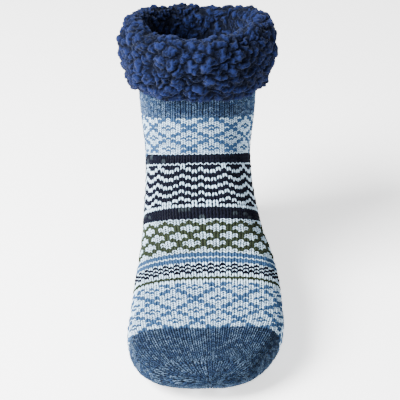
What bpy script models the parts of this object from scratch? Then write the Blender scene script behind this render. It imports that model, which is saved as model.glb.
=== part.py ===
"""Slipper sock, left foot: knitted tube with heel and toe, curly fleece cuff, grip dots under the sole.

Metres, +Z up. The toe points along -Y, the big toe is on the -X side, and the origin is on the floor
under the middle of the heel, on the underside of the middle heel dot.
"""
import math
from collections import namedtuple

import bmesh
import bpy
import numpy as np
from mathutils import Vector
from mathutils.bvhtree import BVHTree

# Driving dimensions of the sock as worn, measured outside
FOOT_LENGTH = 0.252
BALL_WIDTH = 0.104
RIM_HEIGHT = 0.188
HEEL_BEHIND_ORIGIN = 0.034
KNIT_WALL = 0.0022
GAP = 0.0003

# Grip dots
DOT_DIAMETER = 0.008
DOT_FACE_DIAMETER = 0.0066
DOT_HEIGHT = 0.0010
DOT_PITCH_ALONG = 0.0156
DOT_PITCH_ACROSS = 0.018
DOT_ROWS_BEHIND = 1
DOT_ROWS_AHEAD = 13
DOT_SIDES = 12
DOT_STEEPEST = math.radians(24)
DOT_UNEVENNESS = 0.0008
DOWN = Vector((0, 0, -1))

# The knit's underside stands on the dots
SOLE_PLANE = DOT_HEIGHT + GAP

# Mesh counts
KNIT_COLUMNS = 42
KNIT_RINGS_OUTSIDE = 36
KNIT_RINGS_INSIDE = 20
CUFF_COLUMNS = 84

# Sections of the last, from the collar to the toe. run is the distance from the back of the heel as a
# share of FOOT_LENGTH, rise is the height above the sole as a share of RIM_HEIGHT, and the half widths
# are shares of BALL_WIDTH. narrow is how much of the width is left at the section's back or bottom end,
# and the last two columns say how square the section is at its front or top and at its back or bottom.
Section = namedtuple("Section", "name front_run front_rise back_run back_rise big_toe_half small_toe_half "
                                "narrow front_square back_square")
SECTIONS = (
    Section("rim", 0.385, 1.000, 0.024, 0.904, 0.402, 0.402, 1.00, 2.10, 2.15),
    Section("shaft", 0.389, 0.883, 0.024, 0.793, 0.405, 0.405, 1.00, 2.10, 2.15),
    Section("leg", 0.393, 0.766, 0.024, 0.676, 0.405, 0.405, 1.00, 2.10, 2.15),
    Section("ankle", 0.398, 0.654, 0.022, 0.543, 0.395, 0.397, 0.98, 2.15, 2.20),
    Section("crease", 0.410, 0.553, 0.013, 0.372, 0.384, 0.384, 0.92, 2.15, 2.35),
    Section("heel", 0.444, 0.473, 0.004, 0.191, 0.402, 0.410, 0.83, 2.20, 2.60),
    Section("heel_low", 0.491, 0.412, 0.044, 0.022, 0.432, 0.455, 0.78, 2.20, 3.00),
    Section("instep", 0.547, 0.364, 0.167, -0.014, 0.443, 0.482, 0.79, 2.20, 3.40),
    Section("waist", 0.611, 0.325, 0.333, -0.003, 0.462, 0.520, 0.82, 2.20, 3.60),
    Section("arch", 0.683, 0.290, 0.500, 0.006, 0.483, 0.530, 0.88, 2.25, 3.80),
    Section("ball", 0.758, 0.258, 0.651, -0.012, 0.494, 0.515, 0.95, 2.35, 3.80),
    Section("toes", 0.837, 0.228, 0.782, -0.010, 0.510, 0.492, 0.98, 2.45, 3.80),
    Section("toe_cap", 0.905, 0.202, 0.884, 0.002, 0.480, 0.408, 0.98, 2.45, 3.40),
    Section("toe_tip", 0.960, 0.166, 0.951, 0.020, 0.383, 0.288, 0.99, 2.35, 2.80),
    Section("toe_end", 0.991, 0.122, 0.987, 0.055, 0.228, 0.155, 1.00, 2.15, 2.20),
    Section("toe_point", 1.000, 0.085, 1.000, 0.085, 0.000, 0.000, 1.00, 2.00, 2.00),
)
SECTION_VALUES = np.array([section[1:] for section in SECTIONS])
LAST_STATION = len(SECTIONS) - 1
LAST_RING_STATION = LAST_STATION - 0.35

# The cuff's profile that shows, from its lower edge up the outside, over the roll and down inside the
# collar. out is the distance outside the knit's face, up is the height above the knit's rim.
CuffPoint = namedtuple("CuffPoint", "out up")
CUFF_PROFILE = (
    CuffPoint(0.0018, -0.0454),
    CuffPoint(0.0044, -0.0466),
    CuffPoint(0.0074, -0.0442),
    CuffPoint(0.0112, -0.0370),
    CuffPoint(0.0144, -0.0270),
    CuffPoint(0.0156, -0.0150),
    CuffPoint(0.0150, -0.0040),
    CuffPoint(0.0122, 0.0035),
    CuffPoint(0.0075, 0.0072),
    CuffPoint(0.0010, 0.0085),
    CuffPoint(-0.0050, 0.0060),
    CuffPoint(-0.0082, -0.0010),
    CuffPoint(-0.0088, -0.0120),
    CuffPoint(-0.0075, -0.0220),
    CuffPoint(-0.0045, -0.0265),
)
CUFF_PROFILE_RINGS = 24
CUFF_LOWER_EDGE = -0.0440
CUFF_INNER_EDGE = -0.0240
CUFF_FRONT_FULLNESS = 0.20
CUFF_FRONT_THINNESS = 0.25
CUFF_FRONT_DIP = 0.0040
CUFF_DIP_REACH = 0.030
CURLS_ROUND = 21
CURL_PITCH = 0.0130
CURL_RELIEF = 0.0046


def table_values(station):
    """The section table read at any station by a Catmull-Rom curve, and in a straight line above the rim."""
    if station <= 0.0:
        return SECTION_VALUES[0] + (SECTION_VALUES[1] - SECTION_VALUES[0]) * station
    low = min(int(station), LAST_STATION - 1)
    t = station - low
    before = SECTION_VALUES[max(low - 1, 0)]
    start = SECTION_VALUES[low]
    end = SECTION_VALUES[low + 1]
    after = SECTION_VALUES[min(low + 2, LAST_STATION)]
    leave = (end - before) / 2
    arrive = (after - start) / 2
    return ((2 * t**3 - 3 * t**2 + 1) * start + (t**3 - 2 * t**2 + t) * leave
            + (3 * t**2 - 2 * t**3) * end + (t**3 - t**2) * arrive)


def last_point(station, angle, grow=0.0):
    """A point of the last: angle 0 is the front or top, a quarter turn is the small-toe side."""
    (front_run, front_rise, back_run, back_rise, big_half, small_half,
     narrow, front_square, back_square) = table_values(station)
    front = np.array([HEEL_BEHIND_ORIGIN - front_run * FOOT_LENGTH, front_rise * RIM_HEIGHT])
    back = np.array([HEEL_BEHIND_ORIGIN - back_run * FOOT_LENGTH, back_rise * RIM_HEIGHT])
    centre = (front + back) / 2
    half = (front - back) / 2
    half_length = float(np.hypot(*half))
    direction = half / half_length if half_length > 1e-6 else np.array([0.0, 1.0])
    cos_a = math.cos(angle)
    sin_a = math.sin(angle)
    power = 2 / (front_square if cos_a > 0 else back_square)
    reach = math.copysign(abs(cos_a) ** power, cos_a) * max(half_length + grow, 0.0)
    side = math.copysign(abs(sin_a) ** power, sin_a)
    half_width = max((small_half if side > 0 else big_half) * BALL_WIDTH + grow, 0.0)
    taper = 1 + (narrow - 1) * (1 - cos_a) / 2
    y, z = centre + direction * reach
    return np.array([side * half_width * taper, y, max(z, -grow) + SOLE_PLANE])


def inset_point(station, angle, depth):
    """The last's point moved in along the surface's own normal, or level with the rim beside it."""
    step = 0.01
    if station < step:
        return last_point(station, angle, -depth)
    point = last_point(station, angle)
    along = last_point(min(station + step, LAST_STATION), angle) - last_point(station - step, angle)
    around = last_point(station, angle + step) - last_point(station, angle - step)
    normal = np.cross(along, around)
    return point - normal / np.linalg.norm(normal) * depth


def set_material(obj, name, colour, roughness):
    """A plain Principled material."""
    material = bpy.data.materials.new(name)
    material.use_nodes = True
    shader = material.node_tree.nodes["Principled BSDF"]
    shader.inputs["Base Color"].default_value = (*colour, 1.0)
    shader.inputs["Roughness"].default_value = roughness
    shader.inputs["Metallic"].default_value = 0.0
    material.diffuse_color = (*colour, 1.0)
    obj.data.materials.append(material)


def object_from_bmesh(name, bm, collection):
    """Make the bmesh one object with its faces pointing out."""
    bmesh.ops.recalc_face_normals(bm, faces=bm.faces)
    mesh = bpy.data.meshes.new(name)
    bm.to_mesh(mesh)
    bm.free()
    obj = bpy.data.objects.new(name, mesh)
    collection.objects.link(obj)
    return obj


def bridge_rings(bm, first, second):
    """Faces between two rings of as many points."""
    count = len(first)
    for i in range(count):
        j = (i + 1) % count
        bm.faces.new((first[i], first[j], second[j], second[i]))


def close_to_point(bm, ring, point):
    """A fan of faces from a ring to one point."""
    count = len(ring)
    for i in range(count):
        bm.faces.new((ring[i], ring[(i + 1) % count], point))


def knit_face(bm, stations, depth):
    """The rings of one face of the knitted wall, from the rim to a point at the toe."""
    rings = []
    for station in stations:
        ring = []
        for column in range(KNIT_COLUMNS):
            angle = 2 * math.pi * column / KNIT_COLUMNS
            ring.append(bm.verts.new(inset_point(station, angle, depth)))
        rings.append(ring)
    for first, second in zip(rings, rings[1:]):
        bridge_rings(bm, first, second)
    tip = last_point(LAST_STATION, 0.0) + np.array([0.0, depth, 0.0])
    close_to_point(bm, rings[-1], bm.verts.new(tip))
    return rings[0]


def make_knit_sock(collection):
    """The sock, knitted whole: an outer and an inner face joined round the rim."""
    bm = bmesh.new()
    outer_rim = knit_face(bm, np.linspace(0, LAST_RING_STATION, KNIT_RINGS_OUTSIDE), 0.0)
    inner_rim = knit_face(bm, np.linspace(0, LAST_RING_STATION, KNIT_RINGS_INSIDE), KNIT_WALL)
    bridge_rings(bm, outer_rim, inner_rim)
    sock = object_from_bmesh("knit_sock", bm, collection)
    sock.data.shade_smooth()
    sock.data.set_sharp_from_angle(angle=math.radians(50))
    set_material(sock, "knit_sock", (0.12, 0.22, 0.42), 0.9)
    return sock


def curl_height(around, along):
    """Relief of the fleece's curls: round tops in staggered rows, with creases between them."""
    row = along / CURL_PITCH
    best = 0.0
    for near in (math.floor(row), math.floor(row) + 1):
        shift = 0.5 * (near % 2) + 0.18 * math.sin(2.4 * near)
        across = (around * CURLS_ROUND + shift) % 1.0 - 0.5
        away = math.hypot(across, (row - near) * 0.85)
        best = max(best, 1.0 - (away / 0.62) ** 2)
    return CURL_RELIEF * (0.85 + 0.15 * math.sin(9 * math.pi * around + row)) * (best - 0.5)


def spaced_profile(points, count):
    """The profile's smooth curve, read at points an even distance apart."""
    table = np.array(points)
    fine = []
    for low in range(len(table) - 1):
        before, start, end, after = (table[min(max(low + i, 0), len(table) - 1)] for i in (-1, 0, 1, 2))
        for t in np.linspace(0, 1, 12, endpoint=False):
            fine.append(start + (end - before) / 2 * t
                        + (2 * before - 5 * start + 4 * end - after) / 2 * t**2
                        + (3 * start - before - 3 * end + after) / 2 * t**3)
    fine.append(table[-1])
    fine = np.array(fine)
    length = np.append(0.0, np.cumsum(np.hypot(*np.diff(fine, axis=0).T)))
    places = np.linspace(0, length[-1], count)
    return [CuffPoint(np.interp(place, length, fine[:, 0]), np.interp(place, length, fine[:, 1]))
            for place in places]


def make_fleece_cuff(collection):
    """The fleece cuff: a deep band turned over the rim, hooked on both faces of the knit."""
    shaft_length = (SECTIONS[0].front_rise - SECTIONS[1].front_rise) * RIM_HEIGHT

    def cuff_point(angle, out, up):
        return last_point(-up / shaft_length, angle, out)

    bm = bmesh.new()
    columns = [2 * math.pi * column / CUFF_COLUMNS for column in range(CUFF_COLUMNS)]
    slot = (
        CuffPoint(-KNIT_WALL - GAP, CUFF_INNER_EDGE),
        CuffPoint(-KNIT_WALL - GAP, GAP),
        CuffPoint(GAP, GAP),
        CuffPoint(GAP, CUFF_LOWER_EDGE / 2),
        CuffPoint(GAP, CUFF_LOWER_EDGE),
    )
    rings = []
    along = 0.0
    profile = spaced_profile(CUFF_PROFILE, CUFF_PROFILE_RINGS)
    for index, point in enumerate(profile):
        before = profile[max(index - 1, 0)]
        after = profile[min(index + 1, len(profile) - 1)]
        along += math.hypot(point.out - before.out, point.up - before.up)
        slope = math.atan2(after.up - before.up, after.out - before.out)
        ends = min(index, len(profile) - 1 - index) / 2
        ring = []
        for angle in columns:
            relief = curl_height(angle / (2 * math.pi), along) * min(ends, 1.0)
            front = max(math.cos(angle), 0.0)
            full = 1 + CUFF_FRONT_FULLNESS * front if point.out > 0 else 1 - CUFF_FRONT_THINNESS * front
            high = min(max(point.up / CUFF_DIP_REACH + 1, 0.0), 1.0)
            out = point.out * full + relief * math.sin(slope)
            up = point.up - relief * math.cos(slope) - CUFF_FRONT_DIP * front**2 * high
            ring.append(bm.verts.new(cuff_point(angle, out, up)))
        rings.append(ring)
    for point in slot:
        rings.append([bm.verts.new(cuff_point(angle, point.out, point.up)) for angle in columns])
    for first, second in zip(rings, rings[1:] + rings[:1]):
        bridge_rings(bm, first, second)
    cuff = object_from_bmesh("fleece_cuff", bm, collection)
    cuff.data.shade_smooth()
    cuff.data.set_sharp_from_angle(angle=math.radians(60))
    set_material(cuff, "fleece_cuff", (0.03, 0.06, 0.22), 1.0)


def dot_seat(tree, x, y):
    """The centre of a dot's upper face and the way it faces, or nothing where the sole is too steep."""
    hits = []
    for turn in range(DOT_SIDES):
        angle = 2 * math.pi * turn / DOT_SIDES
        start = Vector((x + math.cos(angle) * DOT_DIAMETER / 2, y + math.sin(angle) * DOT_DIAMETER / 2, -1))
        hits.append(tree.ray_cast(start, Vector((0, 0, 1)))[0])
    centre = tree.ray_cast(Vector((x, y, -1)), Vector((0, 0, 1)))[0]
    if centre is None or None in hits:
        return None
    quarter = DOT_SIDES // 4
    normal = (hits[3 * quarter] - hits[quarter]).cross(hits[0] - hits[2 * quarter]).normalized()
    if normal.z > 0:
        normal.negate()
    tilt = normal.angle(DOWN)
    proud = max((hit - centre).dot(normal) for hit in hits + [centre])
    lowest = (centre + normal * (proud + GAP + DOT_HEIGHT)).z - math.sin(tilt) * DOT_FACE_DIAMETER / 2
    if lowest < 0:
        normal = DOWN
        proud = max(centre.z - hit.z for hit in hits + [centre])
    if tilt > DOT_STEEPEST or proud > DOT_UNEVENNESS:
        return None
    return centre + normal * (proud + GAP), normal


def make_grip_dots(collection, sock):
    """Silicone dots printed under the sole in staggered rows, each lying flat on the knit above it."""
    tree = BVHTree.FromObject(sock, bpy.context.evaluated_depsgraph_get())
    bm = bmesh.new()
    bmesh.ops.create_cone(bm, cap_ends=True, segments=DOT_SIDES, radius1=DOT_FACE_DIAMETER / 2,
                          radius2=DOT_DIAMETER / 2, depth=DOT_HEIGHT)
    bmesh.ops.translate(bm, verts=bm.verts, vec=(0, 0, -DOT_HEIGHT / 2))
    mesh = bpy.data.meshes.new("grip_dot")
    bm.to_mesh(mesh)
    bm.free()
    number = 0
    steps_across = round(BALL_WIDTH / DOT_PITCH_ACROSS)
    for row in range(-DOT_ROWS_BEHIND, DOT_ROWS_AHEAD + 1):
        for step in range(-steps_across, steps_across + 1):
            found = dot_seat(tree, (step + 0.5 * (row % 2)) * DOT_PITCH_ACROSS, -row * DOT_PITCH_ALONG)
            if found is None:
                continue
            seat, normal = found
            number += 1
            dot = bpy.data.objects.new(f"grip_dot_{number:02d}", mesh)
            dot.location = seat
            dot.rotation_mode = "QUATERNION"
            dot.rotation_quaternion = DOWN.rotation_difference(normal)
            collection.objects.link(dot)
            if not mesh.materials:
                set_material(dot, "grip_dot", (0.55, 0.56, 0.58), 0.35)


def main():
    for obj in list(bpy.data.objects):
        bpy.data.objects.remove(obj, do_unlink=True)
    collection = bpy.data.collections.new("slipper_sock")
    bpy.context.scene.collection.children.link(collection)
    sock = make_knit_sock(collection)
    make_fleece_cuff(collection)
    make_grip_dots(collection, sock)


main()
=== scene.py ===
"""A knitted slipper sock with a curly fleece cuff, standing open on its grip dots."""

import math

import bmesh
import bpy
import numpy as np
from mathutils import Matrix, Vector, kdtree, noise


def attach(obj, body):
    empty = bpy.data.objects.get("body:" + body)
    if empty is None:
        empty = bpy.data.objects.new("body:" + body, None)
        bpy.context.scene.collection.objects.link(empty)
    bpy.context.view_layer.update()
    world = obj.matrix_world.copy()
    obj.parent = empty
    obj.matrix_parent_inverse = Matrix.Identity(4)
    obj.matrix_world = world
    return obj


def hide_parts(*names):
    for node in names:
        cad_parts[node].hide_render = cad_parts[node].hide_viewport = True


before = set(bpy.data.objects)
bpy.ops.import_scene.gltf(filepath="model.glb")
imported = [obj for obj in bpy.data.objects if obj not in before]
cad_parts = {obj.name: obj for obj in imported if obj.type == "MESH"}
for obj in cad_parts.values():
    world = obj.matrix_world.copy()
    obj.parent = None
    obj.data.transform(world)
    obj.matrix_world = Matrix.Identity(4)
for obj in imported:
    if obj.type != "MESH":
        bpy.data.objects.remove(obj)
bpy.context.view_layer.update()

# The knit's ground. The sock is one jacquard tube of soft wool-blend yarn, knitted from the collar to
# the toe with a pocket turned at the heel. This is the tight inner face of the loops, which lines the wall
# of the knit and shows between the stitches in the colour of the yarn floating behind them, darkened as
# painted shade.
FOOT_LENGTH = 0.252
BALL_WIDTH = 0.104
RIM_HEIGHT = 0.188
HEEL_BEHIND_ORIGIN = 0.034
SOLE_PLANE = 0.0013
# From collar to toe: front run and rise, back run and rise, half widths at the big and the small toe's
# side, how narrow the back is, and how square the front and the back are
SOCK_SECTIONS = np.array((
    (0.385, 1.000, 0.024, 0.904, 0.402, 0.402, 1.00, 2.10, 2.15),
    (0.389, 0.883, 0.024, 0.793, 0.405, 0.405, 1.00, 2.10, 2.15),
    (0.393, 0.766, 0.024, 0.676, 0.405, 0.405, 1.00, 2.10, 2.15),
    (0.398, 0.654, 0.022, 0.543, 0.395, 0.397, 0.98, 2.15, 2.20),
    (0.410, 0.553, 0.013, 0.372, 0.384, 0.384, 0.92, 2.15, 2.35),
    (0.444, 0.473, 0.004, 0.191, 0.402, 0.410, 0.83, 2.20, 2.60),
    (0.491, 0.412, 0.044, 0.022, 0.432, 0.455, 0.78, 2.20, 3.00),
    (0.547, 0.364, 0.167, -0.014, 0.443, 0.482, 0.79, 2.20, 3.40),
    (0.611, 0.325, 0.333, -0.003, 0.462, 0.520, 0.82, 2.20, 3.60),
    (0.683, 0.290, 0.500, 0.006, 0.483, 0.530, 0.88, 2.25, 3.80),
    (0.758, 0.258, 0.651, -0.012, 0.494, 0.515, 0.95, 2.35, 3.80),
    (0.837, 0.228, 0.782, -0.010, 0.510, 0.492, 0.98, 2.45, 3.80),
    (0.905, 0.202, 0.884, 0.002, 0.480, 0.408, 0.98, 2.45, 3.40),
    (0.960, 0.166, 0.951, 0.020, 0.383, 0.288, 0.99, 2.35, 2.80),
    (0.991, 0.122, 0.987, 0.055, 0.228, 0.155, 1.00, 2.15, 2.20),
    (1.000, 0.085, 1.000, 0.085, 0.000, 0.000, 1.00, 2.00, 2.00),
))
TOE_POINT = len(SOCK_SECTIONS) - 1
WALES = 72
HALF_WALES = WALES // 2


def section_values(station):
    """The section table at any stations, as a smooth curve, and in a straight line above the rim."""
    low = np.clip(np.floor(station), 0, TOE_POINT - 1).astype(int)
    t = (station - low)[..., None]
    start = SOCK_SECTIONS[low]
    end = SOCK_SECTIONS[low + 1]
    leave = (end - SOCK_SECTIONS[np.maximum(low - 1, 0)]) / 2
    arrive = (SOCK_SECTIONS[np.minimum(low + 2, TOE_POINT)] - start) / 2
    curve = ((2 * t**3 - 3 * t**2 + 1) * start + (t**3 - 2 * t**2 + t) * leave
             + (3 * t**2 - 2 * t**3) * end + (t**3 - t**2) * arrive)
    straight = SOCK_SECTIONS[0] + (SOCK_SECTIONS[1] - SOCK_SECTIONS[0]) * station[..., None]
    return np.where(station[..., None] <= 0, straight, curve)


def body_points(station, angle, grow=0.0):
    """Points of the sock's body: angle 0 is the front, a quarter turn is the small-toe side."""
    station, angle, grow = np.broadcast_arrays(station, angle, grow)
    (front_run, front_rise, back_run, back_rise, big_half, small_half,
     narrow, front_square, back_square) = np.moveaxis(section_values(np.asarray(station, float)), -1, 0)
    front_y = HEEL_BEHIND_ORIGIN - front_run * FOOT_LENGTH
    back_y = HEEL_BEHIND_ORIGIN - back_run * FOOT_LENGTH
    half_y = (front_y - back_y) / 2
    half_z = (front_rise - back_rise) * RIM_HEIGHT / 2
    half_length = np.maximum(np.hypot(half_y, half_z), 1e-7)
    cos_a = np.cos(angle)
    sin_a = np.sin(angle)
    power = 2 / np.where(cos_a > 0, front_square, back_square)
    reach = np.sign(cos_a) * np.abs(cos_a) ** power * np.maximum(half_length + grow, 0)
    side = np.sign(sin_a) * np.abs(sin_a) ** power
    half_width = np.maximum(np.where(side > 0, small_half, big_half) * BALL_WIDTH + grow, 0)
    taper = 1 + (narrow - 1) * (1 - cos_a) / 2
    y = (front_y + back_y) / 2 + half_y / half_length * reach
    z = (front_rise + back_rise) * RIM_HEIGHT / 2 + half_z / half_length * reach
    return np.stack([side * half_width * taper, y, np.maximum(z, -grow) + SOLE_PLANE], axis=-1)


TABLE_ROWS = 400
HALF_TURN_STEPS = 720
ENTRIES_PER_WALE = 4
HALF_TURN_ENTRIES = ENTRIES_PER_WALE * HALF_WALES


def wale_angles():
    """For each station, the angles at which equal widths of knit lie round each half of the sock."""
    stations = np.linspace(0, TOE_POINT - 0.02, TABLE_ROWS)
    fine = np.linspace(0, 2 * math.pi, 2 * HALF_TURN_STEPS + 1)
    around = body_points(stations[:, None], fine[None, :])
    steps = np.linalg.norm(np.diff(around, axis=1), axis=2)
    table = np.empty((TABLE_ROWS, 2 * HALF_TURN_ENTRIES + 1))
    for index, row in enumerate(steps):
        for half in (0, 1):
            start = half * HALF_TURN_STEPS
            end = start + HALF_TURN_STEPS
            entry = half * HALF_TURN_ENTRIES
            length = np.append(0, np.cumsum(row[start:end]))
            places = np.linspace(0, length[-1], HALF_TURN_ENTRIES + 1)
            angles = np.interp(places, length, fine[start:end + 1])
            table[index, entry:entry + HALF_TURN_ENTRIES + 1] = angles
    return stations, table


WALE_STATIONS, WALE_TABLE = wale_angles()


def wale_angle(station, wale):
    """The angle of a wale at a station, read between the table's entries."""
    down = np.clip(station / WALE_STATIONS[-1], 0, 1) * (TABLE_ROWS - 1)
    turn = np.floor(wale / WALES)
    across = (wale - turn * WALES) * ENTRIES_PER_WALE
    i = np.minimum(down.astype(int), TABLE_ROWS - 2)
    j = np.minimum(across.astype(int), 2 * HALF_TURN_ENTRIES - 1)
    fi = down - i
    fj = across - j
    upper = WALE_TABLE[i, j] * (1 - fj) + WALE_TABLE[i, j + 1] * fj
    lower = WALE_TABLE[i + 1, j] * (1 - fj) + WALE_TABLE[i + 1, j + 1] * fj
    return upper * (1 - fi) + lower * fi + turn * 2 * math.pi


LAST_STATION = TOE_POINT - 0.03
SMALL_STEP = 0.02


def knit_points(station, wale, out):
    """Points at a station and wale of the knit, moved out along the surface's own normal."""
    station = np.clip(station, 0, LAST_STATION)
    angle = wale_angle(station, wale)
    point = body_points(station, angle)
    along = body_points(station + SMALL_STEP, angle) - body_points(station - SMALL_STEP, angle)
    around = body_points(station, angle + SMALL_STEP) - body_points(station, angle - SMALL_STEP)
    normal = np.cross(along, around)
    normal /= np.maximum(np.linalg.norm(normal, axis=-1, keepdims=True), 1e-12)
    return point + normal * np.asarray(out)[..., None]


MERGE_DISTANCE = 1e-6


def rolled_fabric(name, columns, rings, place, softened=0):
    """A flat grid rolled up: place gives the points of each ring and column, and seams are closed."""
    bm = bmesh.new()
    bmesh.ops.create_grid(bm, x_segments=columns, y_segments=rings, size=0.5)
    flat = np.array([vert.co for vert in bm.verts]) + 0.5
    ring = np.round(flat[:, 1] * rings)
    column = np.round(flat[:, 0] * columns) % columns
    for vert, point in zip(bm.verts, place(ring, column)):
        vert.co = point
    bmesh.ops.remove_doubles(bm, verts=bm.verts, dist=MERGE_DISTANCE)
    loose = [edge for edge in bm.edges if not edge.link_faces]
    bmesh.ops.delete(bm, geom=loose, context="EDGES")
    for _ in range(softened):
        bmesh.ops.smooth_vert(
            bm, verts=bm.verts, factor=0.5, use_axis_x=True, use_axis_y=True, use_axis_z=True)
    bmesh.ops.recalc_face_normals(bm, faces=bm.faces)
    if bm.calc_volume(signed=True) < 0:
        bmesh.ops.reverse_faces(bm, faces=bm.faces)
    mesh = bpy.data.meshes.new(name)
    bm.to_mesh(mesh)
    bm.free()
    mesh.shade_smooth()
    piece = bpy.data.objects.new(name, mesh)
    bpy.context.scene.collection.objects.link(piece)
    return piece


KNIT_GROUND_DEPTH = 0.0010
KNIT_WALL = 0.0022
GROUND_RINGS = 230
GROUND_COLUMNS = 2 * WALES
GROUND_RIM_STATION = 0.35
# Shares of the rings that run down the outside and up the inside, and where they turn at the toe's tip
GROUND_OUTSIDE = 0.55
GROUND_INSIDE = 0.43
GROUND_TURN = 0.555
GROUND_TIP = (0.547, 0.558)


def ground_place(ring, column):
    """Down the outside of the ground to the toe, and back up its inside to the rim."""
    share = ring / GROUND_RINGS
    outside = np.clip(share / GROUND_OUTSIDE, 0, 1)
    inside = np.clip((1 - share) / GROUND_INSIDE, 0, 1)
    outer = share <= GROUND_TURN
    station = GROUND_RIM_STATION + np.where(outer, outside, inside) * (LAST_STATION - GROUND_RIM_STATION)
    wale = column / GROUND_COLUMNS * WALES
    depth = np.where(outer | (ring == GROUND_RINGS), KNIT_GROUND_DEPTH, KNIT_WALL)
    points = knit_points(station, wale, -depth)
    tip = body_points(np.array(TOE_POINT), np.array(0))
    closed = (share > GROUND_TIP[0]) & (share < GROUND_TIP[1]) & outer
    points[closed] = tip + np.array((0, KNIT_GROUND_DEPTH, 0))
    return points


def group_value(group, kind, name, default, low=0.0, high=1.0):
    """An input of a shared shader group."""
    socket = group.interface.new_socket(name, in_out="INPUT", socket_type=kind)
    socket.default_value = default
    if kind == "NodeSocketFloat":
        socket.min_value = low
        socket.max_value = high
    return socket


def make_wool_group():
    """Wool's loose fibres: a shade that varies along the yarn, and a fine bump."""
    group = bpy.data.node_groups.new("wool fibres", "ShaderNodeTree")
    group_value(group, "NodeSocketColor", "Dye And Shade", (0.5, 0.5, 0.5, 1))
    group_value(group, "NodeSocketFloat", "Fibre Scale", 1500.0, 0, 10000)
    group_value(group, "NodeSocketFloat", "Unevenness", 0.3)
    group_value(group, "NodeSocketFloat", "Light Below", 0.3)
    group_value(group, "NodeSocketFloat", "Dark Above", 0.7)
    group_value(group, "NodeSocketFloat", "Bump Strength", 0.5)
    group.interface.new_socket("Color", in_out="OUTPUT", socket_type="NodeSocketColor")
    group.interface.new_socket("Normal", in_out="OUTPUT", socket_type="NodeSocketVector")
    nodes = group.nodes
    link = group.links.new
    given = nodes.new("NodeGroupInput")
    result = nodes.new("NodeGroupOutput")
    place = nodes.new("ShaderNodeTexCoord")
    fibres = nodes.new("ShaderNodeTexNoise")
    fibres.inputs["Detail"].default_value = 3
    link(place.outputs["Object"], fibres.inputs["Vector"])
    link(given.outputs["Fibre Scale"], fibres.inputs["Scale"])
    shade = nodes.new("ShaderNodeMapRange")
    link(given.outputs["Light Below"], shade.inputs["From Min"])
    link(given.outputs["Dark Above"], shade.inputs["From Max"])
    shade.inputs["To Min"].default_value = 1
    lowest = nodes.new("ShaderNodeMath")
    lowest.operation = "SUBTRACT"
    lowest.inputs[0].default_value = 1
    link(given.outputs["Unevenness"], lowest.inputs[1])
    link(lowest.outputs[0], shade.inputs["To Max"])
    link(fibres.outputs["Fac"], shade.inputs["Value"])
    dyed = nodes.new("ShaderNodeMix")
    dyed.data_type = "RGBA"
    dyed.blend_type = "MULTIPLY"
    dyed.inputs["Factor"].default_value = 1
    link(given.outputs["Dye And Shade"], dyed.inputs["A"])
    link(shade.outputs[0], dyed.inputs["B"])
    link(dyed.outputs["Result"], result.inputs["Color"])
    bump = nodes.new("ShaderNodeBump")
    bump.inputs["Distance"].default_value = 0.0004
    link(given.outputs["Bump Strength"], bump.inputs["Strength"])
    link(fibres.outputs["Fac"], bump.inputs["Height"])
    link(bump.outputs["Normal"], result.inputs["Normal"])
    return group


WOOL_FIBRES = make_wool_group()


def yarn_material(name, attribute, unevenness, bump, sheen):
    """Wool-blend yarn, dyed by the colour that the piece keeps in its own attribute, with any painted shade
    in it.
    """
    material = bpy.data.materials.new(name)
    material.use_nodes = True
    nodes = material.node_tree.nodes
    link = material.node_tree.links.new
    surface = nodes["Principled BSDF"]
    dye_and_shade = nodes.new("ShaderNodeAttribute")
    dye_and_shade.attribute_name = attribute
    wool = nodes.new("ShaderNodeGroup")
    wool.node_tree = WOOL_FIBRES
    wool.inputs["Unevenness"].default_value = unevenness
    wool.inputs["Bump Strength"].default_value = bump
    link(dye_and_shade.outputs["Color"], wool.inputs["Dye And Shade"])
    link(wool.outputs["Color"], surface.inputs["Base Color"])
    link(wool.outputs["Normal"], surface.inputs["Normal"])
    surface.inputs["Roughness"].default_value = 0.92
    surface.inputs["Specular IOR Level"].default_value = 0.08
    surface.inputs["Sheen Weight"].default_value = sheen
    surface.inputs["Sheen Roughness"].default_value = 0.4
    surface.inputs["Sheen Tint"].default_value = (0.8, 0.86, 1, 1)
    return material


def keep_colours(piece, name, colours):
    """Stores a colour for each of the piece's points."""
    layer = piece.data.color_attributes.new(name, "FLOAT_COLOR", "POINT")
    values = np.ones((len(colours), 4))
    values[:, :3] = colours
    layer.data.foreach_set("color", values.ravel())


ground = rolled_fabric("knit_ground", GROUND_COLUMNS, GROUND_RINGS, ground_place)
ground.data.materials.append(yarn_material("knit ground", "shade_between", 0.35, 0.4, 0.1))
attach(ground, "root")
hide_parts("knit_sock")

# The stitches. Each is a loop of wool-blend yarn that shows as two plump legs, 72 to a round and about
# 150 rounds from the cuff to the toe. The bands of white, blue, navy and olive are knitted in from a
# chart, and the marled heel pocket is turned in short rows.

# The courses at which the bands begin, counted from the cuff's lower edge
FIRST_COURSE = -3
DIAMONDS = 10
ANKLE_NAVY = 31
WAVES = 35
INSTEP_NAVY = 58
FLOWERS = 64
BLUE_STRIPES = 82
CHECKS = 88
WHITE_STRIPES = 93
FOOT_DIAMONDS = 98
TOE_CAP = 123
LAST_COURSE = 147
# Courses, and the stations that they cross at the front and back
COURSE_FRONT = (
    (-4, 0, 10, 29, 31, 35, 58, 64, 82, 95, 98, 123, 125.8, 135.2, 142.3, 147),
    (1.79, 2.04, 2.668, 3.887, 4.02, 4.347, 6.242, 6.80, 8.392, 9.48, 9.742, 11.733, 12, 13, 14, 15))
COURSE_BACK = (
    (31, 35, 58, 64, 82, 95, 98, 123, 126.3, 136.4, 143.1, 147),
    (6.88, 7.04, 7.93, 8.09, 8.57, 9.16, 9.41, 11.78, 12, 13, 14, 15))
# How much further down the courses lie on the sides than at the front
COURSE_SAG = (
    (0, 10, 31, 35, 58, 64, 82, 95, 98, 123, 135, 147),
    (0.2, 0.26, 0.18, 0.2, 0.06, -0.1, 0.08, -0.08, -0.1, -0.3, -0.2, 0))
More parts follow.
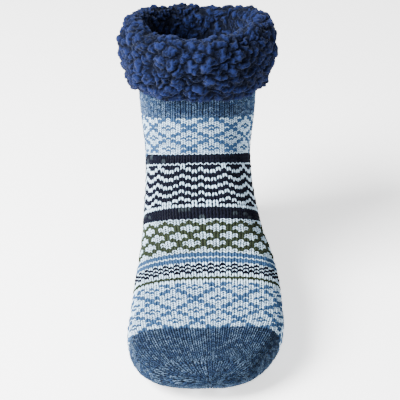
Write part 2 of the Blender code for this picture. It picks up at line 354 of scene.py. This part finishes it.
# Where four lines of the leg cross the front, and how much further down they lie at the sides and back
START_LINE = (2.04, 0.20, -0.04)
DIAMOND_LINE = (2.668, 0.26, -0.168)
GORE_LINE = (3.887, 0.19)
NAVY_LINE = (4.02, 0.18)
NAVY_BACK = 6.88
# Stations of the heel pocket, its wales to each side, and the courses that it takes from the leg
HEEL_TOP = 3.10
HEEL_POINT = 4.80
HEEL_BOTTOM = 6.70
HEEL_WALES = 14
GORE_COURSE = 29
HEEL_TAKES_ABOVE = 7
HEEL_TAKES_BELOW = 0.5


def heel_place(wale):
    """How far into the heel pocket a wale is, from 0 to 1 at the back, and how far from the front."""
    from_front = np.abs((wale + HALF_WALES) % WALES - HALF_WALES)
    return np.clip((from_front - HALF_WALES + HEEL_WALES) / HEEL_WALES, 0, 1), from_front


def course_station(course, wale, own):
    """The station of a course at a wale. A stitch's own course says on which side of the heel it goes."""
    into, from_front = heel_place(wale)
    back_share = (1 - np.cos(math.pi * np.clip((from_front - 13) / 23, 0, 1))) / 2
    side_share = np.sin(math.pi / 2 * np.clip(from_front / 17, 0, 1)) ** 2 * (1 - back_share)
    sag = np.interp(course, *COURSE_SAG) * side_share
    front = np.interp(course, *COURSE_FRONT) + sag
    lower = front + (np.interp(course, *COURSE_BACK) - front) * back_share
    start = START_LINE[0] + START_LINE[2] * back_share + START_LINE[1] * side_share
    diamonds = DIAMOND_LINE[0] + DIAMOND_LINE[2] * back_share + DIAMOND_LINE[1] * side_share
    navy = NAVY_LINE[0] + NAVY_LINE[1] * side_share
    navy = navy + (NAVY_BACK - navy) * back_share
    to_gore = (1 - np.cos(math.pi * np.clip((from_front - 10) / (HALF_WALES - HEEL_WALES - 10), 0, 1))) / 2
    gore = GORE_LINE[0] + GORE_LINE[1] * side_share
    gore = gore + (HEEL_POINT - gore) * to_gore
    above = np.where(into > 0, HEEL_POINT - (HEEL_POINT - HEEL_TOP) * into, gore)
    below = np.where(into > 0, HEEL_POINT + (HEEL_BOTTOM - HEEL_POINT) * into, gore)
    above_course = GORE_COURSE - HEEL_TAKES_ABOVE * into
    below_course = GORE_COURSE - HEEL_TAKES_BELOW * into
    upper = diamonds + (above - diamonds) * (course - DIAMONDS) / (above_course - DIAMONDS)
    middle = below + (navy - below) * (course - below_course) / (ANKLE_NAVY - below_course)
    top = start + (diamonds - start) * course / DIAMONDS
    inside = np.where(own < (above_course + below_course) / 2, upper, middle)
    return np.where(course < DIAMONDS, top, np.where(course < ANKLE_NAVY, inside, lower))


def srgb(red, green, blue):
    """A dye's colour from its red, green and blue out of 255."""
    values = [value / 255 for value in (red, green, blue)]
    return np.array([v / 12.92 if v <= 0.04045 else ((v + 0.055) / 1.055) ** 2.4 for v in values])


# The yarns' dyes. A fleck is a little of the white showing in the navy, and the toe cap's marl is painted
# darker than the leg's, as shade
WHITE = srgb(200, 230, 254)
LIGHT_BLUE = srgb(50, 78, 112)
NAVY = srgb(7, 9, 23)
OLIVE = srgb(40, 48, 33)
FLECK = WHITE * 0.035
TOE_PAINTED_SHADE = 0.62
MARL = (srgb(94, 118, 148), srgb(72, 96, 128), srgb(52, 74, 108))

# The courses of a diamond's middle on the leg and on the foot, and the wale of its centre. Then, by wale,
# how far its edge lies from its middle, and how far a wave trails
DIAMOND_MIDDLES = (15, 106)
DIAMOND_CENTRE = 2
DIAMOND_EDGE = {0: (6,), 1: (5, 4), 2: (4, 3), 3: (2, 1), 4: (0, 1)}
WAVE_LAG = (0, 1, 2, 2, 1)
# The rows of the flower band
FLOWER = {0: "white", 1: "three", 2: "centre", 3: "drop", 4: "drop three", 5: "drop three", 6: "drop",
          7: "centre", 8: "three", 9: "three", 10: "centre", 11: "drop", 12: "drop three",
          13: "drop three", 14: "drop", 15: "centre", 16: "three", 17: "white"}


def diamond_yarn(course, wale, middle):
    """The diamonds: a light blue lattice on white, with a small ring in the middle of each."""
    for shift, drop in ((0, 0), (4, 6)):
        across = abs((wale - DIAMOND_CENTRE + shift + 4) % 8 - 4)
        down = abs((course - middle + drop + 6) % 12 - 6)
        if across + down == 1:
            return LIGHT_BLUE
        if shift == 0 and down in DIAMOND_EDGE[across]:
            return LIGHT_BLUE
    return WHITE


def chart_yarn(course, wale, chance):
    """The yarn of one stitch: the chart, read by course and wale."""
    if course < DIAMONDS or course >= TOE_CAP:
        # Painted shade: the toe cap's marl is darkened
        return MARL[int(chance * 2.999)] * (TOE_PAINTED_SHADE if course >= TOE_CAP else 1)
    if course < ANKLE_NAVY:
        return WHITE if course == ANKLE_NAVY - 1 else diamond_yarn(course, wale, DIAMOND_MIDDLES[0])
    if course < WAVES or INSTEP_NAVY <= course < FLOWERS:
        return FLECK if chance > 0.9 else NAVY
    if course < INSTEP_NAVY:
        row = course - WAVES
        wave = (row - WAVE_LAG[(wale + 1) % 5]) % 4 in (1, 2)
        return WHITE if row in (0, 21, 22) or wave else NAVY
    if course < BLUE_STRIPES:
        kind = FLOWER[course - FLOWERS]
        across = (wale + (2 if "drop" in kind else 0)) % 4
        flower = kind == "white" or across == 0 or ("three" in kind and across != 2)
        return WHITE if flower else OLIVE
    if course < CHECKS:
        return WHITE if course in (84, 87) else LIGHT_BLUE
    if course < WHITE_STRIPES:
        return NAVY if (course + wale) % 2 else WHITE
    if course < FOOT_DIAMONDS:
        return OLIVE if course == 95 else WHITE
    return diamond_yarn(course, wale, DIAMOND_MIDDLES[1])


def float_yarn_and_shade(course):
    """The float yarn behind a course's stitches, darkened as painted shade unless it is navy."""
    # Painted shade between the stitches: the marl's float is darkened to 0.12, the light blue's and the
    # olive's to 0.7, the navy's not at all
    if course < DIAMONDS or course >= TOE_CAP:
        return MARL[2] * 0.12
    if course < ANKLE_NAVY or course >= FOOT_DIAMONDS or BLUE_STRIPES <= course < CHECKS:
        return LIGHT_BLUE * 0.7
    return OLIVE * 0.7 if FLOWERS <= course < BLUE_STRIPES or course >= WHITE_STRIPES else NAVY


def make_leg():
    """One leg of a stitch as a small leaf: along, across and height, from a four-sided ball."""
    bm = bmesh.new()
    bmesh.ops.create_uvsphere(bm, u_segments=4, v_segments=4, radius=1)
    points = np.array([vert.co for vert in bm.verts])
    faces = [[vert.index for vert in face.verts] for face in bm.faces]
    bm.free()
    return points, faces


LEG_POINTS, LEG_FACES = make_leg()
LEG_SIZE = len(LEG_POINTS)
LEG_THICK = 0.00062
LEG_DEPTH = 0.00045
LEG_ENDS_SUNK = 0.00025
DARK_RAISED = 0.00014
# In wales, for a tall stitch of two courses and then for a single one: how far the legs stand out in the
# middle, how far they lean and how wide they are. In courses, a leg's half length and how low it starts.
# Then how fully the yarns fill their place, first in a tall stitch and then in a single one
LEG_APART = (0.235, 0.255)
LEG_LEAN = (0.10, 0.215)
LEG_WIDTH = (0.20, 0.132)
LEG_LENGTH = 0.68
LEG_DROP = 0.15
WHITE_FILL = (0.90, 0.82)
DARK_FILL = (1.12, 1.25)
MARLED_FILL = 0.94
MARLED_WIDTH = 0.86
DYED_WIDTH = 0.94
# How uneven the stitches are: in courses, in how plump they are, in wales and in metres of depth
UNEVEN_COURSE = 0.05
UNEVEN_FILL = 0.10
UNEVEN_WALE = 0.02
UNEVEN_DEPTH = 0.00008
# From this mean colour a yarn counts as white
WHITE_FROM = 0.4
SEED = 23
rng = np.random.default_rng(SEED)
# For each piece, the colour that lies behind each leg of its stitches: the float yarn, with painted shade
behind = {}


def make_stitches(name, places, station_of, yarns):
    """A run of stitches as one mesh. places holds course, wale, width in wales and height in courses."""
    places = np.array(places, float)
    count = len(places)
    jitter = rng.normal(0, 1, (count, 4))
    course = places[:, 0, None] + UNEVEN_COURSE * jitter[:, 0, None]
    wale = places[:, 1, None]
    width = places[:, 2, None]
    height = places[:, 3, None]
    tall = height > 1
    along = LEG_POINTS[None, :, 2]
    white = np.array([np.mean(yarn) > WHITE_FROM for yarn in yarns])[:, None]
    marled = (places[:, 0] < DIAMONDS) | (places[:, 0] >= TOE_CAP) | (name == "stitches_heel")
    dyed_fill = np.where(white, np.where(tall, *WHITE_FILL), np.where(tall, *DARK_FILL))
    fill = np.where(marled[:, None], MARLED_FILL, dyed_fill)
    plump = fill * (1 + UNEVEN_FILL * jitter[:, 1, None])
    points = []
    for side in (-1, 1):
        lean = np.where(tall, *LEG_LEAN)
        middle = np.where(tall, *LEG_APART) - lean * along + 0.02 * (1 - along**2)
        up = (LEG_LENGTH * fill * along - LEG_DROP) * (0.08 + 0.92 * height)
        thick = LEG_POINTS[None, :, 0] * plump
        drawn_in = np.where(marled[:, None], MARLED_WIDTH, DYED_WIDTH)
        across = side * (middle + np.where(tall, *LEG_WIDTH) * thick) * width * drawn_in
        across = across + UNEVEN_WALE * jitter[:, 2, None]
        out = LEG_THICK * LEG_POINTS[None, :, 1] * plump + UNEVEN_DEPTH * jitter[:, 3, None] - LEG_DEPTH
        out += np.where(white, 0, DARK_RAISED) - LEG_ENDS_SUNK * along**2
        station = station_of(course - (up + 0.19 * thick), wale + across, course)
        points.append(knit_points(station, wale + across, np.broadcast_to(out, (count, LEG_SIZE))))
    points = np.stack(points, axis=1)
    faces = []
    for leg in range(2 * count):
        order = LEG_FACES if leg % 2 else [face[::-1] for face in LEG_FACES]
        faces.extend([[leg * LEG_SIZE + index for index in face] for face in order])
    mesh = bpy.data.meshes.new(name)
    mesh.from_pydata(points.reshape(-1, 3).tolist(), [], faces)
    bm = bmesh.new()
    bm.from_mesh(mesh)
    bmesh.ops.recalc_face_normals(bm, faces=bm.faces)
    bm.to_mesh(mesh)
    bm.free()
    mesh.shade_smooth()
    piece = bpy.data.objects.new(name, mesh)
    bpy.context.scene.collection.objects.link(piece)
    keep_colours(piece, "yarn_colour_and_shade", np.repeat(np.array(yarns), 2 * LEG_SIZE, axis=0))
    floats = [float_yarn_and_shade(0 if name == "stitches_heel" else place[0]) for place in places]
    behind[name] = [colour for colour in floats for _ in (0, 1)]
    piece.data.materials.append(YARN)
    piece.data.materials.append(MARLED_YARN)
    piece.data.polygons.foreach_set("material_index", np.repeat(marled.astype(int), 2 * len(LEG_FACES)))
    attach(piece, "root")
    return piece


YARN = yarn_material("knitting yarn", "yarn_colour_and_shade", 0.4, 0.7, 0.02)
MARLED_YARN = yarn_material("marled yarn", "yarn_colour_and_shade", 0.88, 0.9, 0.02)
marl_wool = MARLED_YARN.node_tree.nodes["Group"]
marl_wool.inputs["Fibre Scale"].default_value = 1400
marl_wool.inputs["Light Below"].default_value = 0.42
marl_wool.inputs["Dark Above"].default_value = 0.6


def in_pocket(course, wale):
    """Whether a place of the chart is taken by the heel pocket."""
    into = float(heel_place(np.array(float(wale)))[0])
    above_course = GORE_COURSE - HEEL_TAKES_ABOVE * into
    below_course = GORE_COURSE - HEEL_TAKES_BELOW * into
    return into > 0 and above_course < course < below_course + 0.5


# Courses from which a stitch spans two wales and then four, as the toe closes
TWO_WALES_FROM = 138
FOUR_WALES_FROM = 144
YARN_SHADES = (0.86, 1.1)


def stitch_run(name, first, last):
    """All the stitches from one course to another. In waves and stripes, two of a colour draw up as one."""
    places = []
    yarns = []
    drawn_up = set()
    for course in range(first, last):
        width = 1 if course < TWO_WALES_FROM else 2 if course < FOUR_WALES_FROM else 4
        plain = ANKLE_NAVY <= course < FLOWERS or BLUE_STRIPES <= course < FOOT_DIAMONDS
        for wale in range(0, WALES, width):
            if (course, wale) in drawn_up or in_pocket(course, wale):
                continue
            same = chart_yarn(course, wale, 0) is chart_yarn(course + 1, wale, 0)
            tall = int(plain and same and course + 1 < last)
            if tall:
                drawn_up.add((course + 1, wale))
            places.append((course + 0.5 * tall, wale, width, 1 + tall))
            yarns.append(chart_yarn(course, wale, rng.random()) * rng.uniform(*YARN_SHADES))
    return make_stitches(name, places, course_station, yarns)


leg_stitches = stitch_run("stitches_leg", FIRST_COURSE, ANKLE_NAVY)
ankle_stitches = stitch_run("stitches_ankle", ANKLE_NAVY, FLOWERS)
instep_stitches = stitch_run("stitches_instep", FLOWERS, FOOT_DIAMONDS)
toe_stitches = stitch_run("stitches_toe", FOOT_DIAMONDS, LAST_COURSE)

# The courses of each of the heel pocket's two fans
HEEL_COURSES = 30


def heel_station(course, wale, own):
    """Stations of the heel pocket: two fans of short courses that meet along the line from its apexes."""
    into, _ = heel_place(wale)
    from_apex = 1 - into
    upper = HEEL_TOP + (HEEL_POINT - HEEL_TOP) * (course / HEEL_COURSES + from_apex)
    low = 2 - course / HEEL_COURSES
    lower = HEEL_BOTTOM - (HEEL_BOTTOM - HEEL_POINT) * (low + from_apex)
    return np.where(own < HEEL_COURSES, np.minimum(upper, HEEL_POINT), np.maximum(lower, HEEL_POINT))


heel_places = []
for heel_course in range(2 * HEEL_COURSES):
    short = min(heel_course, 2 * HEEL_COURSES - 1 - heel_course) / HEEL_COURSES
    for heel_wale in range(HALF_WALES - HEEL_WALES, HALF_WALES + HEEL_WALES + 1):
        if abs(heel_wale - HALF_WALES) / HEEL_WALES + short < 1.0:
            heel_places.append((heel_course, heel_wale, 1, 1))
heel_yarns = [chart_yarn(0, 0, rng.random()) * rng.uniform(*YARN_SHADES) for _ in heel_places]
heel_stitches = make_stitches("stitches_heel", heel_places, heel_station, heel_yarns)

# The ground takes the colour of the yarn that floats behind the stitches in front of it, darkened as
# painted shade
stitch_pieces = (leg_stitches, ankle_stitches, instep_stitches, toe_stitches, heel_stitches)
yarn_tree = kdtree.KDTree(sum(len(piece.data.vertices) // LEG_SIZE for piece in stitch_pieces))
float_colours_and_shade = []
for piece in stitch_pieces:
    corners = np.empty(len(piece.data.vertices) * 3)
    piece.data.vertices.foreach_get("co", corners)
    for middle, colour in zip(corners.reshape(-1, LEG_SIZE, 3).mean(axis=1), behind[piece.name]):
        yarn_tree.insert(Vector(middle), len(float_colours_and_shade))
        float_colours_and_shade.append(colour)
yarn_tree.balance()
shades = [float_colours_and_shade[yarn_tree.find(vert.co)[1]] for vert in ground.data.vertices]
keep_colours(ground, "shade_between", np.array(shades))

# The fleece cuff. Deep curly pile on a knitted back, the lining's top turned out over the rim and sewn
# down below. Its curls stand in clumps of rounded locks with deep creases between them, which the
# fleece's colour paints dark as shade.

# From the lower edge over the rim to the end inside: out from the knit and up from its rim
CUFF_PROFILE = np.array((
    (1.8, -45.4), (4.4, -46.6), (7.4, -44.2), (11.2, -37.0), (14.4, -27.0),
    (15.6, -15.0), (15.0, -4.0), (12.2, 3.5), (8.0, 7.4), (3.0, 8.6),
    (-2.0, 6.8), (-5.4, 0.5), (-6.6, -11.0), (-6.4, -21.0), (-4.8, -26.5),
)) / 1000
CUFF_SLOT = ((-0.0026, -0.024), (-0.0026, 0.0003), (0.0003, 0.0003), (0.0003, -0.044))
SHAFT_LENGTH = 0.117 * RIM_HEIGHT
CUFF_COLUMNS = 460
CUFF_RINGS = 200
CUFF_PILE_RINGS = 178
# Fuller in front, thinner inside and at the sides, dipping in front of the leg, with a lifted lower edge
CUFF_FULLNESS = 0.20
CUFF_THINNESS = 0.10
CUFF_DIP = 0.0085
SLOT_DIP = 0.002
CUFF_SIDES_PRESSED = 0.20
CUFF_EDGE_LIFT = 0.0025


def cuff_line():
    """The profile's smooth curve at even distances, then the slot that hooks over the knit."""
    fine = []
    for low in range(len(CUFF_PROFILE) - 1):
        picks = np.clip(np.arange(low - 1, low + 3), 0, len(CUFF_PROFILE) - 1)
        before, start, end, after = CUFF_PROFILE[picks]
        for t in np.linspace(0, 1, 12, endpoint=False):
            fine.append(start + (end - before) / 2 * t
                        + (2 * before - 5 * start + 4 * end - after) / 2 * t**2
                        + (3 * start - before - 3 * end + after) / 2 * t**3)
    fine = np.array(fine + [CUFF_PROFILE[-1]])
    length = np.append(0, np.cumsum(np.hypot(*np.diff(fine, axis=0).T)))
    places = np.linspace(0, length[-1], CUFF_PILE_RINGS + 1)
    pile = np.stack([np.interp(places, length, fine[:, 0]), np.interp(places, length, fine[:, 1])], axis=1)
    slot = np.array((*CUFF_SLOT, tuple(pile[0])))
    line = np.vstack([pile, slot])
    spare = np.linspace(0, len(line) - 1 - CUFF_PILE_RINGS, CUFF_RINGS - CUFF_PILE_RINGS + 1)[1:]
    steps = np.arange(len(line))
    tail = [np.interp(spare + CUFF_PILE_RINGS, steps, line[:, axis]) for axis in (0, 1)]
    return np.vstack([pile, np.stack(tail, axis=1)])


CUFF_LINE = cuff_line()


def seeds_over(points, rows, columns, jitter):
    """The points of a grid at which clumps grow, in shifted rows and each a little out of place."""
    picked = []
    for row in range(rows):
        for column in range(columns):
            down = (row + 0.5 + jitter * rng.uniform(-1, 1)) / rows
            across = (column + 0.5 * (row % 2) + 0.5 + jitter * rng.uniform(-1, 1)) / columns
            i = int(down * (points.shape[0] - 1))
            j = int(across * (points.shape[1] - 1))
            picked.append(points[i, j % points.shape[1]])
    return np.array(picked)


# The noise that curls the pile gets a seed, so that each run grows the same curls
noise.seed_set(SEED)
CREASE_WIDTH = 0.0060
STRAND_STRETCH = 0.68
STRAND_WANDER = 0.0016


def pile_relief(points, clumps, curl_scale, warp):
    """How high clumps and strands stand, from 0 in the creases to 1. Each clump's strands comb one way."""
    clump_tree = kdtree.KDTree(len(clumps))
    for index, seed in enumerate(clumps):
        clump_tree.insert(Vector(seed), index)
    clump_tree.balance()
    combed = [Vector(rng.normal(0, 1, 3)).normalized() for _ in clumps]
    big = np.empty(len(points))
    small = np.empty(len(points))
    for index, point in enumerate(points):
        place = Vector(point)
        bent = place + noise.noise_vector(place * 150) * warp + noise.noise_vector(place * 380) * warp * 0.5
        first, second = clump_tree.find_n(bent, 2)
        big[index] = min((second[2] - first[2]) / CREASE_WIDTH, 1)
        way = combed[first[1]]
        local = bent - first[0] + noise.noise_vector(place * 260) * STRAND_WANDER
        strand = (local - way * local.dot(way) * STRAND_STRETCH) * curl_scale + way * (first[1] % 17)
        small[index] = (abs(noise.noise(strand)) * 1.5 + abs(noise.noise(strand * 2.3)) * 0.6
                        + abs(noise.noise(place * curl_scale * 3.1)) * 0.35)
    return np.sin(np.clip(big, 0, 1) * math.pi / 2) ** 0.8, np.sin(np.clip(small, 0, 1) * math.pi / 2)


def cuff_base(ring, column):
    """The cuff's smooth skin before its pile stands up."""
    out = np.interp(ring, np.arange(len(CUFF_LINE)), CUFF_LINE[:, 0])
    up = np.interp(ring, np.arange(len(CUFF_LINE)), CUFF_LINE[:, 1])
    angle = column / CUFF_COLUMNS * 2 * math.pi
    front = np.maximum(np.cos(angle), 0)
    outside = 1 + CUFF_FULLNESS * front - CUFF_SIDES_PRESSED * np.sin(angle)**2
    inside = 1 - CUFF_THINNESS * np.abs(np.cos(angle))
    full = np.where(out > 0.001, outside, np.where(out < -0.0027, inside, 1))
    dip = np.where(ring <= CUFF_PILE_RINGS, CUFF_DIP, SLOT_DIP) * front**2
    dip = dip * np.clip(up / 0.030 + 1, 0, 1)
    lift = np.where(out > 0.001, CUFF_EDGE_LIFT, 0) * np.clip((-up - 0.015) / 0.030, 0, 1)
    return body_points(-(up - dip + lift) / SHAFT_LENGTH, angle, out * full)


cuff_rings = np.arange(0, CUFF_PILE_RINGS + 1)[:, None]
cuff_columns = np.arange(0, CUFF_COLUMNS)[None, :]
cuff_grid = cuff_base(cuff_rings, cuff_columns)
cuff_clumps = seeds_over(cuff_grid, 12, 34, 0.48)
CUFF_CURL_SCALE = 310
CUFF_WARP = 0.0036
CLUMP_RISE = 0.0034
STRAND_RISE = 0.0027
CUFF_SWELL = 0.0036
# For the cuff and the lining, their points and how far up the pile each is, from which the fleece paints
# its shade
pile_of_point = {}


def cuff_place(ring, column):
    """The cuff with its pile: locks and clumps raised, creases sunk."""
    base = cuff_base(ring, column)
    along = cuff_base(ring + 0.5, column) - cuff_base(np.maximum(ring - 0.5, 0), column)
    around = cuff_base(ring, column + 0.5) - cuff_base(ring, column - 0.5)
    normal = np.cross(around, along)
    normal /= np.maximum(np.linalg.norm(normal, axis=1, keepdims=True), 1e-12)
    big, small = pile_relief(base, cuff_clumps, CUFF_CURL_SCALE, CUFF_WARP)
    ends = np.clip(np.minimum(ring / 8, (CUFF_PILE_RINGS - ring) / 90 + 0.1), 0, 1)
    ends = ends * (ring <= CUFF_PILE_RINGS)
    wide = np.array([noise.noise(Vector(point) * 60) for point in base])
    height = (CLUMP_RISE * (big - 0.8) + STRAND_RISE * (small - 0.6) + CUFF_SWELL * wide) * ends
    placed = base + normal * height[:, None]
    pile_of_point["cuff"] = (placed, 0.45 * big + 0.55 * small)
    return placed


def fleece_material():
    """Curly dyed polyester fleece, soft, with painted shade: darker in the creases and paler on the tips of
    the locks.
    """
    material = bpy.data.materials.new("curly fleece")
    material.use_nodes = True
    nodes = material.node_tree.nodes
    link = material.node_tree.links.new
    surface = nodes["Principled BSDF"]
    depth = nodes.new("ShaderNodeAttribute")
    depth.attribute_name = "pile"
    place = nodes.new("ShaderNodeTexCoord")
    curls = nodes.new("ShaderNodeTexNoise")
    curls.inputs["Scale"].default_value = 620
    curls.inputs["Detail"].default_value = 4
    curls.inputs["Distortion"].default_value = 1.6
    link(place.outputs["Object"], curls.inputs["Vector"])
    mixed = nodes.new("ShaderNodeMath")
    mixed.operation = "MULTIPLY_ADD"
    mixed.inputs[1].default_value = 0.55
    link(curls.outputs["Fac"], mixed.inputs[0])
    # Painted shade: the higher a point stands in the pile, the paler its colour, so the creases are painted
    # dark and the tips light
    painted_crease_shade = nodes.new("ShaderNodeMath")
    painted_crease_shade.operation = "MULTIPLY_ADD"
    painted_crease_shade.inputs[1].default_value = 0.75
    painted_crease_shade.inputs[2].default_value = -0.12
    link(depth.outputs["Fac"], painted_crease_shade.inputs[0])
    link(painted_crease_shade.outputs[0], mixed.inputs[2])
    dye_and_shade = nodes.new("ShaderNodeValToRGB")
    dye_and_shade.color_ramp.elements[0].position = 0.15
    dye_and_shade.color_ramp.elements[0].color = (*srgb(0, 1, 3), 1)
    dye_and_shade.color_ramp.elements[1].position = 0.95
    dye_and_shade.color_ramp.elements[1].color = (*srgb(21, 31, 69), 1)
    middle = dye_and_shade.color_ramp.elements.new(0.6)
    middle.color = (*srgb(4, 7, 20), 1)
    link(mixed.outputs[0], dye_and_shade.inputs["Fac"])
    link(dye_and_shade.outputs["Color"], surface.inputs["Base Color"])
    bump = nodes.new("ShaderNodeBump")
    bump.inputs["Strength"].default_value = 0.8
    bump.inputs["Distance"].default_value = 0.0009
    link(curls.outputs["Fac"], bump.inputs["Height"])
    link(bump.outputs["Normal"], surface.inputs["Normal"])
    surface.inputs["Roughness"].default_value = 0.95
    surface.inputs["Specular IOR Level"].default_value = 0.05
    surface.inputs["Sheen Weight"].default_value = 0.06
    surface.inputs["Sheen Roughness"].default_value = 0.45
    surface.inputs["Sheen Tint"].default_value = (0.55, 0.66, 1, 1)
    return material


def keep_pile(piece, placed, depth):
    """Stores how far up the pile each point is, after the seams have been closed. The fleece paints its
    shade from it.
    """
    tree = kdtree.KDTree(len(placed))
    for index, point in enumerate(placed):
        tree.insert(Vector(point), index)
    tree.balance()
    layer = piece.data.attributes.new("pile", "FLOAT", "POINT")
    layer.data.foreach_set("value", [depth[tree.find(vert.co)[1]] for vert in piece.data.vertices])


FLEECE = fleece_material()
cuff = rolled_fabric("cuff_fleece", CUFF_COLUMNS, CUFF_RINGS, cuff_place, 1)
keep_pile(cuff, *pile_of_point["cuff"])
cuff.data.materials.append(FLEECE)
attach(cuff, "root")
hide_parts("fleece_cuff")

# The lining. The same fleece, shorter and pressed flatter by wear, follows the knit's inside from under
# the cuff to the toe, where it is sewn shut.
LINING_RINGS = 200
LINING_COLUMNS = 168
LINING_START = 0.9
LINING_END = 13.8
LINING_BACK = 0.0026
LINING_PILE = 0.0042
LINING_FACE_SHARE = 0.70
LINING_TIP_SHARE = 0.008
LINING_CURL_SCALE = 320
LINING_WARP = 0.0030
lining_stations = np.linspace(LINING_START, LINING_END, 90)[:, None]
lining_angles = np.linspace(0, 2 * math.pi, LINING_COLUMNS)[None, :]
lining_grid = body_points(lining_stations, lining_angles, -0.004)
lining_clumps = seeds_over(lining_grid, 26, 26, 0.42)


def lining_place(ring, column):
    """Down the pile's face to the toe, and back up against the knit."""
    share = ring / LINING_RINGS
    face = share <= LINING_FACE_SHARE
    down = np.where(face, share / LINING_FACE_SHARE, (1 - share) / (1 - LINING_FACE_SHARE))
    station = LINING_START + (LINING_END - LINING_START) * down
    angle = column / LINING_COLUMNS * 2 * math.pi
    base = body_points(station, angle, np.where(face | (ring == LINING_RINGS), -LINING_PILE, -LINING_BACK))
    core = body_points(station, angle, -0.030)
    inward = core - base
    inward /= np.maximum(np.linalg.norm(inward, axis=1, keepdims=True), 1e-12)
    big, small = pile_relief(base, lining_clumps, LINING_CURL_SCALE, LINING_WARP)
    height = np.where(face, 0.0012 * big + 0.0010 * small, 0) * np.clip(down * 30, 0, 1)
    placed = base + inward * height[:, None]
    end = body_points(np.array(LINING_END), np.array([0.0, math.pi])).mean(axis=0)
    closing = np.abs(share - LINING_FACE_SHARE) < LINING_TIP_SHARE
    placed[closing & face] = end + np.array((0, 0.004, 0))
    placed[closing & ~face] = end + np.array((0, 0.001, 0))
    # The pile value that paints the fleece's shade is set lower here than on the cuff, so the lining is
    # painted darker
    pile_of_point["lining"] = (placed, 0.45 * big + 0.35 * small)
    return placed


lining = rolled_fabric("fleece_lining", LINING_COLUMNS, LINING_RINGS, lining_place)
keep_pile(lining, *pile_of_point["lining"])
lining.data.materials.append(FLEECE)
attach(lining, "root")

# The grip dots. Short pads of clear grey silicone, printed on the finished sole and cured, so that they
# are smooth, slightly cloudy and a little dusty at the edge.
silicone = bpy.data.materials.new("grip silicone")
silicone.use_nodes = True
silicone_nodes = silicone.node_tree.nodes
silicone_surface = silicone_nodes["Principled BSDF"]
silicone_place = silicone_nodes.new("ShaderNodeTexCoord")
cloud = silicone_nodes.new("ShaderNodeTexNoise")
cloud.inputs["Scale"].default_value = 260
cloudy = silicone_nodes.new("ShaderNodeValToRGB")
cloudy.color_ramp.elements[0].color = (*srgb(150, 156, 164), 1)
cloudy.color_ramp.elements[1].color = (*srgb(196, 201, 208), 1)
silicone.node_tree.links.new(silicone_place.outputs["Object"], cloud.inputs["Vector"])
silicone.node_tree.links.new(cloud.outputs["Fac"], cloudy.inputs["Fac"])
silicone.node_tree.links.new(cloudy.outputs["Color"], silicone_surface.inputs["Base Color"])
silicone_surface.inputs["Roughness"].default_value = 0.38
silicone_surface.inputs["Subsurface Weight"].default_value = 0.3
silicone_surface.inputs["Subsurface Radius"].default_value = (0.002, 0.002, 0.002)
for node_name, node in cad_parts.items():
    if node_name.startswith("grip_dot_"):
        node.data.materials.clear()
        node.data.materials.append(silicone)

# The studio. A plain white floor that runs on past the picture, a broad soft light from the upper left
# with a weak one in front, and the camera in front and above.
FLOOR_HALF_WIDTH = 40
floor_mesh = bpy.data.meshes.new("floor")
floor_bm = bmesh.new()
bmesh.ops.create_grid(floor_bm, x_segments=1, y_segments=1, size=FLOOR_HALF_WIDTH)
floor_bm.to_mesh(floor_mesh)
floor_bm.free()
floor = bpy.data.objects.new("floor", floor_mesh)
bpy.context.scene.collection.objects.link(floor)
floor_paint = bpy.data.materials.new("white floor")
floor_paint.use_nodes = True
floor_surface = floor_paint.node_tree.nodes["Principled BSDF"]
floor_surface.inputs["Base Color"].default_value = (0.93, 0.93, 0.93, 1)
floor_surface.inputs["Roughness"].default_value = 0.9
floor_surface.inputs["Emission Color"].default_value = (1, 1, 1, 1)
floor_surface.inputs["Emission Strength"].default_value = 1.3
floor_mesh.materials.append(floor_paint)

world = bpy.data.worlds.new("studio")
world.use_nodes = True
world.node_tree.nodes["Background"].inputs["Color"].default_value = (1, 1, 1, 1)
world.node_tree.nodes["Background"].inputs["Strength"].default_value = 0.5
bpy.context.scene.world = world

# Where the lights and the camera point: the middle of the picture
TARGET = Vector((0.00078, -0.045, 0.0561))


def soft_light(name, place, size, power):
    """A square studio light that faces the sock."""
    data = bpy.data.lights.new(name, "AREA")
    data.shape = "SQUARE"
    data.size = size
    data.energy = power
    light = bpy.data.objects.new(name, data)
    light.location = place
    light.rotation_euler = (TARGET - Vector(place)).to_track_quat("-Z", "Y").to_euler()
    bpy.context.scene.collection.objects.link(light)


soft_light("key", (-0.95, -0.5, 1.0), 0.8, 138)
soft_light("front", (0.1, -1.4, 0.8), 0.9, 10)

camera_data = bpy.data.cameras.new("camera")
camera_data.lens = 123
camera_data.sensor_width = 36
camera_data.clip_start = 0.01
camera = bpy.data.objects.new("camera", camera_data)
azimuth = math.radians(-2.5)
elevation = math.radians(28.33)
level = math.cos(elevation)
back = Vector((math.sin(azimuth) * level, -math.cos(azimuth) * level, math.sin(elevation)))
camera.location = TARGET + back
camera.rotation_euler = (-back).to_track_quat("-Z", "Y").to_euler()
bpy.context.scene.collection.objects.link(camera)
bpy.context.scene.camera = camera

bpy.context.view_layer.update()
